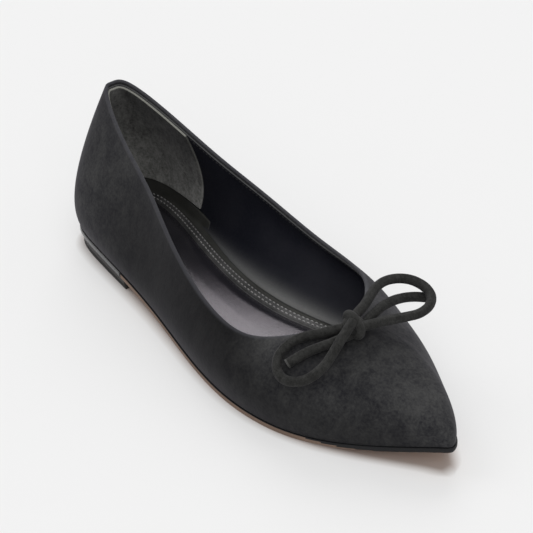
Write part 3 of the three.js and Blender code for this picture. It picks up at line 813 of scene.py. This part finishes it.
def make_lining():
    """Smooth leather against the foot, glued over the fold with its cut edge just below it, with a painted
    sheen along its foot.
    """
    u = LOOP_STEPS
    glued, edge_out, edge_in = SUEDE + 0.00008, SUEDE + 0.00012, WALL
    rows, pale = [], []

    def lay(row, tone=0.0):
        rows.append(row)
        pale.append(np.broadcast_to(tone, AROUND))

    for down, depth, tone in (
        (0.0021, glued, 0), (FOLD_SHOWS + 0.00012, edge_out, 0.5), (FOLD_SHOWS, edge_out + 0.0002, 0.5),
        (FOLD_SHOWS - 0.00003, (edge_out + edge_in) / 2, 0.5), (FOLD_SHOWS, edge_in - 0.00016, 0.5),
        (FOLD_SHOWS + 0.00014, edge_in, 0.25), (FOLD_SHOWS + 0.0004, edge_in, 0), (0.0026, edge_in, 0),
    ):
        lay(wall_point(u, v_below(u, down), depth), tone)
    start, curve_start = v_below(u, 0.0035), v_above(u, INSOLE + COVE_HIGH)
    for way in np.linspace(0, 1, 24)[:-1]:
        lay(wall_point(u, start + (curve_start - start) * way, edge_in))
    reach = cove(u) + COVE_SINK * (cove(u) > 0)
    # Painted sheen where the lining's foot curves in to the sock, palest at its foot.
    painted_sheen = np.clip(loop_curve(PAINTED_SHEEN)(u), 0, 1)
    level_in = inward_of(wall_point(u, 0.1, WALL)[:, :2])
    for fall in np.linspace(0, 1, 30):
        row = wall_point(u, v_above(u, INSOLE + COVE_HIGH * (1 - fall)), edge_in)
        row[:, :2] += level_in * (reach * (1 - math.sqrt(1 - fall**2)))[:, None]
        lay(row, PAINTED_SHEEN_PEAK * fall**5 * painted_sheen)
    lay(rows[-1] - (0, 0, 0.001))
    lay(wall_point(u, v_above(u, INSOLE - 0.0015), edge_in))
    lay(wall_point(u, 0.0, edge_in))
    for v in np.linspace(0.0, 0.9, 14):
        lay(wall_point(u, v, glued))
    piece = ring_piece("upper_lining", np.array(rows), [LINING_LEATHER], joined=True)
    paint(piece, "pale", np.array(pale))
    tidy(piece, WELD_FINE)
    hand_over(piece, None)


GRIP = 0.0009  # thickness of the suede heel grip
GRIP_TOP = 0.0019  # from the topline down to the heel grip
GRIP_LOW = 0.0095  # from the feather line up to the heel grip
GRIP_REACH_LOW = 2.75  # where its front edge lies at the bottom, around the loop
GRIP_REACH_HIGH = 2.35  # and at the top


def make_heel_grip():
    """Suede patch inside the counter, cut with bare edges."""
    edge_steps = np.array([0.0, 0.0035, 0.01, 0.02])
    up = np.concatenate([edge_steps, np.linspace(0.03, 0.97, 41), 1 - edge_steps[::-1]])
    across = np.concatenate([edge_steps / 2 - 1, np.linspace(-0.985, 0.985, 141), 1 - edge_steps[::-1] / 2])
    u = across * (GRIP_REACH_LOW + (GRIP_REACH_HIGH - GRIP_REACH_LOW) * up[:, None] ** 2)
    v = np.empty_like(u)
    for k, level in enumerate(up):
        low, high = v_above(u[k], GRIP_LOW), v_below(u[k], GRIP_TOP)
        v[k] = low + (high - low) * level
    away = np.minimum(np.minimum(up, 1 - up)[:, None], (1 - np.abs(across)) * 1.5)
    full = GRIP * (1 - 0.28 * np.exp(-away / 0.01))
    front = wall_point(u % LOOP, v, WALL + 0.0002 + full)
    back = wall_point(u % LOOP, v, WALL - 0.0001)
    rows, columns = front.shape[:2]
    count = rows * columns
    number = np.arange(count).reshape(rows, columns)
    order = np.concatenate([number[0], number[1:, -1], number[-1, -2::-1], number[-2:0:-1, 0]])
    after = np.roll(order, -1)
    rim = np.stack([order, after, after + count, order + count], 1)
    faces = grid_faces(rows, columns)
    faces = np.concatenate([faces, faces[:, ::-1] + count, rim])
    piece = new_piece("heel_grip_patch", np.array([front, back]), faces, [GRIP_SUEDE])
    pale = np.zeros_like(away)
    pale[:2], pale[-2:] = 0.45, 0.8
    pale[:, [0, -1]] = 0.15
    # Painted light and shade on the heel grip: lighter towards its bottom, and along the middle of its top.
    painted_light = 0.5 + 2.9 * (1 - up[:, None]) ** 1.3 + 0.9 * up[:, None] * bell(across / 0.25)
    paint(piece, "pale", np.tile(pale.ravel(), 2))
    paint(piece, "painted_light", np.tile(painted_light.ravel(), 2))
    tidy(piece, WELD_FINE)
    hand_over(piece, "heel_grip")


# The sock

SPINE_START = 0.024  # the sock's and the sole's middle line, from the back of the heel
SPINE_END = 0.212
RIDGE_HALF = 0.0023  # half of the stitched ridge's width
RIDGE_HIGH = 0.001  # its height
SOCK_PAD = 0.0021  # how far the padding stands over the sock's edge
BORDER = 0.009  # width of the sock's border, from its cut edge to the middle of the ridge
BORDER_PROUD = 0.0005  # how far the border stands off the wall where it climbs it
CLIMB_FROM = BORDER_PROUD * 1.4  # nearer to the wall than this the border climbs it
CREASE_IN, CREASE_HALF = 0.0025, 0.00035  # the crease on each side of the ridge
SOCK_FOOT = 0.0001  # the sock's underside over the feather line
SEAM_ROOM = 0.0028  # from the middle of the ridge to the foot of the padding
PAD_RISE = 0.0062  # length over which the padding's side rises
STITCH_ROW = 0.0011  # each row of stitches, from the middle of the ridge

# The middle of the sock's stitched ridge, in from the wall, in the last's even steps around the shoe
RIDGE_IN = (0.0036, 0.0036, 0.0042, 0.0052, 0.006, 0.0066, 0.0066, 0.0062, 0.0054, 0.0042,
            0.004, 0.0042, 0.0054, 0.0062, 0.0074, 0.0114, 0.0104, 0.0064, 0.0038, 0.0036)


def ridge_in(u):
    return loop_curve(RIDGE_IN)(u)


def spine_of(edge):
    """For each point of a closed edge, the point of the middle line that it looks in to."""
    half = len(edge) // 2
    x = np.clip(edge[:, 0], SPINE_START, SPINE_END)
    outer, inner = edge[: half + 1], edge[half:]
    low = np.interp(x, outer[:, 0], outer[:, 1])
    high = np.interp(x, inner[::-1, 0], inner[::-1, 1])
    return np.stack([x, (low + high) / 2], 1)


def inset_rings(edge, distances, fractions):
    """Level rings inside a closed edge: first at distances from it, then in shares to its middle."""
    level = edge[:, :2]
    to_spine = spine_of(edge) - level
    reach = np.linalg.norm(to_spine, axis=1)
    facing = np.clip((to_spine * inward_of(level)).sum(1) / reach, 0.35, 1)
    shares = [np.minimum(d / facing / reach, 0.9) for d in distances]
    shares += [shares[-1] + (1 - shares[-1]) * f for f in fractions]
    shares = np.array(shares)
    return level + to_spine * shares[..., None], shares * reach * facing


def sock_height(from_ridge, breadth):
    """The sock's top over its edge, by the distance in from the middle of its ridge."""
    ridge = RIDGE_HIGH * np.sqrt(np.clip(1 - (from_ridge / RIDGE_HALF) ** 2, 0, 1))
    inside = np.clip(from_ridge - SEAM_ROOM, 0, None)
    crown = np.minimum(breadth / HALF_BALL * 1.25, 1)
    way = np.clip(inside / PAD_RISE, 0, 1)
    rising = way * (1.5 - 0.5 * way**2)
    pad = SOCK_PAD * crown * (0.75 * rising + 0.25 * np.clip(inside / HALF_BALL * 1.6, 0, 1))
    seam = 0.00035 * bell((from_ridge - CREASE_IN) / CREASE_HALF)
    bedded = 0.0002 * bell((from_ridge + CREASE_IN) / CREASE_HALF)
    return ridge + pad - seam - bedded


def sock_edge(u):
    return wall_point(u, v_above(u, INSOLE), WALL + 0.00005)


def sock_points(u, from_ridge, fractions=()):
    """Rows of points on the sock's top. Where its border is wider than its room, it climbs the wall."""
    edge = sock_edge(u)
    wanted = ridge_in(u) + np.asarray(from_ridge)[:, None]
    wanted = np.where(cove(u) > CLIMB_FROM, np.maximum(wanted, cove(u)), wanted)
    level, depth = inset_rings(edge, np.maximum(wanted, CLIMB_FROM), fractions)
    breadth = np.linalg.norm(spine_of(edge) - edge[:, :2], axis=1)
    top = feather_height(level[..., 0]) + INSOLE + sock_height(depth - ridge_in(u), breadth)
    points = at_height(level, top)
    for k, row in enumerate(wanted):
        climb = np.clip(CLIMB_FROM - row, 0, None)
        on_wall = wall_point(u, v_above(u, INSOLE + climb), WALL + BORDER_PROUD)
        points[k] = np.where((climb > 0)[:, None], on_wall, points[k])
    return points


def make_sock():
    """Padded sock: a matt border, a ridge between two rows of stitches, and a smooth crowned middle."""
    u = LOOP_STEPS
    from_ridge = np.concatenate([
        [-BORDER, -0.0087, -0.008, -0.0071, -0.0062, -0.0055, -0.0048, -0.0041, -0.0035, -0.0029],
        np.linspace(-0.0026, 0.003, 23),
        [0.0034, 0.004, 0.0048, 0.0056, 0.0064, 0.0072, 0.008, 0.0087, 0.0094]])
    top = sock_points(u, from_ridge, np.linspace(0, 1, 17)[1:-1])
    edge, behind = sock_edge(u), top[0]
    wall = wall_point(u, v_above(u, behind[:, 2] - feather_height(behind[:, 0])), WALL + 0.00005)
    climbs = (np.maximum(ridge_in(u) - BORDER, cove(u)) < CLIMB_FROM)[:, None]
    behind = np.where(climbs, wall, behind)
    foot = np.where(climbs, edge, behind)
    foot[:, 2] = feather_height(foot[:, 0]) + SOCK_FOOT
    spine = spine_of(edge)
    rows = np.array([at_height(spine, feather_height(spine[:, 0]) + SOCK_FOOT), foot, behind, *top,
                     at_height(spine, top[-1][:, 2])])
    bands = np.arange(len(rows) - 1) - 3
    ridge_start, ridge_end = from_ridge.searchsorted([-RIDGE_HALF, RIDGE_HALF])
    cover = np.where((ridge_start <= bands) & (bands < ridge_end), 2, bands < ridge_start)
    piece = ring_piece("insole_sock", rows, [SOCK_LEATHER, SOCK_BORDER, SOCK_RIDGE], np.repeat(cover, AROUND))
    tidy(piece, WELD)
    hand_over(piece, "insole")


def stitch_piece(name, places, runs, ups, material, size):
    """A row of stitches: short rounded threads, each laid along the line and sunk at its ends."""
    long, wide, high = size
    turn = np.linspace(0, 2 * np.pi, 8, endpoint=False)[:, None]
    stations = np.linspace(-1, 1, 7)
    rings = []
    for place, run, up in zip(places, runs, ups):
        side = unit(np.cross(up, run))
        for s in stations:
            half_thick = math.sqrt(max(1 - s**4, 0.02)) * wide / 2
            middle = place + run * s * long / 2 + up * high * (0.5 - s * s)
            rings.append(middle + (side * np.cos(turn) + up * np.sin(turn)) * half_thick)
    one = grid_faces(len(stations), len(turn), close_columns=True)
    starts = np.arange(len(places))[:, None, None] * len(stations) * len(turn)
    return new_piece(name, np.concatenate(rings), (one + starts).reshape(-1, 4), [material])


def spread_along(line, pitch):
    """Points at an even pitch along a closed line, and the line's direction at each."""
    line = np.vstack([line, line[:1]])
    at = np.arange(pitch / 2, lengths_along(line)[-1], pitch)
    return points_along(line, at), unit(points_along(line, at + pitch / 4) - points_along(line, at - pitch / 4))


SOCK_STITCH = (0.0016, 0.0005, 0.0004)  # length, thickness, and how far its middle arches
SOCK_PITCH = 0.0024
TOPLINE_STITCH = (0.0015, 0.00036, 0.0002)
TOPLINE_PITCH = 0.0021
TOPLINE_ROW = 0.0012  # from the lining's cut edge down to its stitches


def make_sock_stitches():
    rows = [spread_along(line, SOCK_PITCH) for line in sock_points(LOOP_STEPS, [-STITCH_ROW, STITCH_ROW])]
    places, runs = (np.concatenate(part) for part in zip(*rows))
    ups = np.tile((0.0, 0.0, 1.0), (len(places), 1))
    hand_over(stitch_piece("sock_stitches", places, runs, ups, THREAD, SOCK_STITCH), None)


def make_topline_stitches():
    u = LOOP_STEPS
    v = v_below(u, FOLD_SHOWS + TOPLINE_ROW)
    line = wall_point(u, v, WALL + 0.00004)
    places, runs = spread_along(line, TOPLINE_PITCH)
    nearest = np.array([np.argmin(((line - place) ** 2).sum(1)) for place in places])
    ups = -outside_normal(u[nearest], v[nearest])
    piece = stitch_piece("topline_stitches", places, runs, ups, BLACK_THREAD, TOPLINE_STITCH)
    hand_over(piece, None)


# The sole and the heel

TAN_START = HEEL_LENGTH - 0.003  # from here to the toe the sole's edge is left tan
TAN_END = 0.188  # from here on the black comes down to cover the whole edge
BLACK_TOE = 0.222  # and from here on it does
BLACK_BANDS = 4  # the edge's uppermost bands, blackened all around
CHANNEL_IN = 0.0044  # the closed channel of the sole's seam, in from the edge
CHANNEL = 0.00022  # its depth and half its width
CHANNEL_START = SPINE_START + 0.04
BREAST_STEPS = 26
BREAST_HOLLOW = 0.0016  # how far the heel's breast curves in
HEEL_SIDE_STEPS = 90


def make_outsole():
    """Leather sole: black around the heel, along the top of its edge and at the toe, and tan elsewhere."""
    u = LOOP_STEPS
    edge = sole_point(u, SOLE_EDGE, 0.0)
    profile = ((-0.0012, 0.0), (-0.0004, 0.0), (-0.00012, 0.00004), (0.0, 0.00016), (0.00006, 0.0006),
               (0.00008, 0.0012), (0.00004, 0.0018), (-0.00008, 0.0022), (-0.0003, 0.00252), (-0.0006, 0.00272),
               (-0.001, SOLE))
    around = np.array([sole_point(u, SOLE_EDGE + out, under) for out, under in profile])
    distances = [0.0004, 0.001, 0.002, 0.0032, *np.linspace(0.0038, 0.005, 9), 0.0058, 0.0072, 0.009]
    level, depth = inset_rings(around[-1], distances, np.linspace(0, 1, 12)[1:])
    groove = CHANNEL * bell((depth - CHANNEL_IN) / CHANNEL) * (level[..., 0] > CHANNEL_START)
    face = at_height(level, feather_height(level[..., 0]) - GAP - SOLE + groove)
    spine = spine_of(edge)
    rows = np.concatenate([at_height(spine, feather_height(spine[:, 0]) - GAP)[None], around, face])
    bands, along = np.repeat(np.arange(len(rows) - 1), AROUND), np.tile(edge[:, 0], len(rows) - 1)
    all_bands = len(around) - 2
    black = np.interp(along, (TAN_START, TAN_START + 0.002, TAN_END, BLACK_TOE),
                      (all_bands, BLACK_BANDS, BLACK_BANDS, all_bands))
    cover = np.where(bands < np.floor(black), 0, np.where(bands < all_bands, 1, 2))
    cover[(cover == 0) & (along < TAN_START)] = 3
    materials = [SOLE_EDGE_BLACK, SOLE_EDGE_TAN, SOLE_LEATHER, HEEL_SEAT_BLACK]
    piece = ring_piece("outsole_leather", rows, materials, cover)
    tidy(piece, WELD)
    hand_over(piece, "outsole")


def heel_outline(out):
    """Level outline of the heel from one breast corner around the back to the other, and back across."""
    reach = STEPS * math.acos(1 - 2 * HEEL_LENGTH / LENGTH) / math.pi
    u = np.linspace(-reach, reach, 2 * HEEL_SIDE_STEPS + 1)
    side = sole_point(u % LOOP, out, 0.0)[:, :2]
    breast = np.linspace(side[-1], side[0], BREAST_STEPS)[1:-1]
    breast[:, 0] -= np.sin(np.linspace(0, np.pi, BREAST_STEPS)[1:-1]) * BREAST_HOLLOW
    return np.vstack([side, breast])


def heel_stack(name, levels, material, solid):
    """A solid of heel outlines: for each level how far out it lies, and its height at a way along the shoe."""
    rows = []
    for out, height in levels:
        line = heel_outline(out)
        rows.append(at_height(line, height(line[:, 0])))
    middle = np.broadcast_to(rows[0][:, :2].mean(0), rows[0][:, :2].shape)
    low = at_height(middle, np.full(len(middle), rows[0][:, 2].mean()))
    rows = np.array([low, *rows, at_height(middle, levels[-1][1](middle[:, 0]))])
    piece = ring_piece(name, rows, [material])
    tidy(piece, WELD)
    hand_over(piece, solid)


def make_heel():
    """The covered block, which follows the sole's underside, and the rubber top piece under it."""
    high = SOLE_EDGE - HEEL_SET
    low = high - HEEL_TAPER

    def flat(height):
        return lambda x: np.full(np.shape(x), height)

    def share_up(share, below_sole=0.0):
        """A height that lies a share of the way from the top piece to the sole."""
        return lambda x: TOP_PIECE + (feather_height(x) - SOLE - GAP * 1.05 - TOP_PIECE) * share - below_sole

    block = [(low - 0.0003, flat(TOP_PIECE + 0.00005)), (low, flat(TOP_PIECE + 0.0003))]
    block += [(low + (high - low) * share, share_up(share)) for share in np.linspace(0.15, 0.9, 6)]
    block += [(high, share_up(1.0, 0.0002)), (high - 0.0002, share_up(1.0))]
    heel_stack("heel_block_covered", block, HEEL_LEATHER, "heel_block")
    rubber = [(low - 0.0005, flat(0.0)), (low - 0.00015, flat(0.00012)), (low, flat(0.00045)),
              (low, flat(TOP_PIECE - 0.0002)), (low - 0.0002, flat(TOP_PIECE))]
    heel_stack("heel_top_piece_rubber", rubber, RUBBER, "heel_top_piece")


# The studio

FLOOR_HALF = 3.0  # half of the floor's length and width
GLOW_SPAN = 0.14  # half of the length and width over which the glow's outline is given
GLOW_SOFT = (-0.003, 0.004)  # from inside to outside the sole's outline


def beside_the_sole(tree, place):
    """From 0 under the sole to 1 beside it: the mask of a painted shadow, in which the floor's glow is cut off
    under the shoe.
    """
    level = node(tree, "SeparateXYZ", {"Vector": place}).outputs
    along, across = (ranged(tree, way, -GLOW_SPAN, GLOW_SPAN) for way in (level[0], level[1]))
    outside_by = []
    for side in (np.linspace(0, STEPS, 17), np.linspace(LOOP, STEPS, 17)):
        outline = (sole_point(side, 0.0, 0.0) + SHIFT)[:, :2] / (2 * GLOW_SPAN) + 0.5
        curve = node(tree, "FloatCurve", {"Value": along})
        points = curve.mapping.curves[0].points
        points[0].location, points[1].location = outline[0], outline[-1]
        for spot in outline[1:-1]:
            points.new(*spot)
        curve.mapping.update()
        outside_by.append(curve.outputs["Value"])
    ends = (0.5 - LENGTH / 4 / GLOW_SPAN, 0.5 + LENGTH / 4 / GLOW_SPAN)
    ways = [maths(tree, "SUBTRACT", *pair) for pair in (
        (outside_by[0], across), (across, outside_by[1]), (ends[0], along), (along, ends[1]))]
    beyond = ways[0]
    for way in ways[1:]:
        beyond = maths(tree, "MAXIMUM", beyond, way)
    return ranged(tree, beyond, *(soft / (2 * GLOW_SPAN) for soft in GLOW_SOFT))


def make_studio():
    mesh = bpy.data.meshes.new("studio_floor")
    corners = [(x * FLOOR_HALF, y * FLOOR_HALF, 0) for x, y in ((-1, -1), (1, -1), (1, 1), (-1, 1))]
    mesh.from_pydata(corners, [], [(0, 1, 2, 3)])
    floor = bpy.data.objects.new("studio_floor", mesh)
    bpy.context.scene.collection.objects.link(floor)
    material, tree, shader = start_material("studio_floor")
    # Painted shadow under the shoe: the glow is cut off there, and the floor is tinted tan for the light the
    # sole throws down.
    beside = beside_the_sole(tree, on_object(tree))
    tone = blend_colour(tree, beside, FLOOR_UNLIT, FLOOR_TONE)
    glow = blend_colour(tree, beside, (0.0, 0.0, 0.0, 1), (1.0, 1.0, 1.0, 1))
    fill(tree, shader, {"Base Color": tone, "Emission Color": glow, "Emission Strength": FLOOR_GLOW,
                        "Roughness": 0.9, "Specular IOR Level": 0.1})
    mesh.materials.append(material)
    world = bpy.data.worlds.new("studio_light")
    world.use_nodes = True
    background = world.node_tree.nodes["Background"]
    background.inputs["Color"].default_value = (1.0, 1.0, 1.0, 1)
    background.inputs["Strength"].default_value = WORLD_LIGHT
    bpy.context.scene.world = world
    bpy.context.scene.view_settings.view_transform = "Standard"
    for name, way, energy, spread in STUDIO_LAMPS:
        sun = bpy.data.lights.new(name, "SUN")
        sun.energy = energy
        sun.angle = math.radians(spread)
        lamp = bpy.data.objects.new(name, sun)
        lamp.rotation_euler = Vector(way).to_track_quat("Z", "Y").to_euler()
        bpy.context.scene.collection.objects.link(lamp)


make_camera()
make_bow()
make_upper()
make_lining()
make_heel_grip()
make_sock()
make_sock_stitches()
make_topline_stitches()
make_outsole()
make_heel()
make_studio()
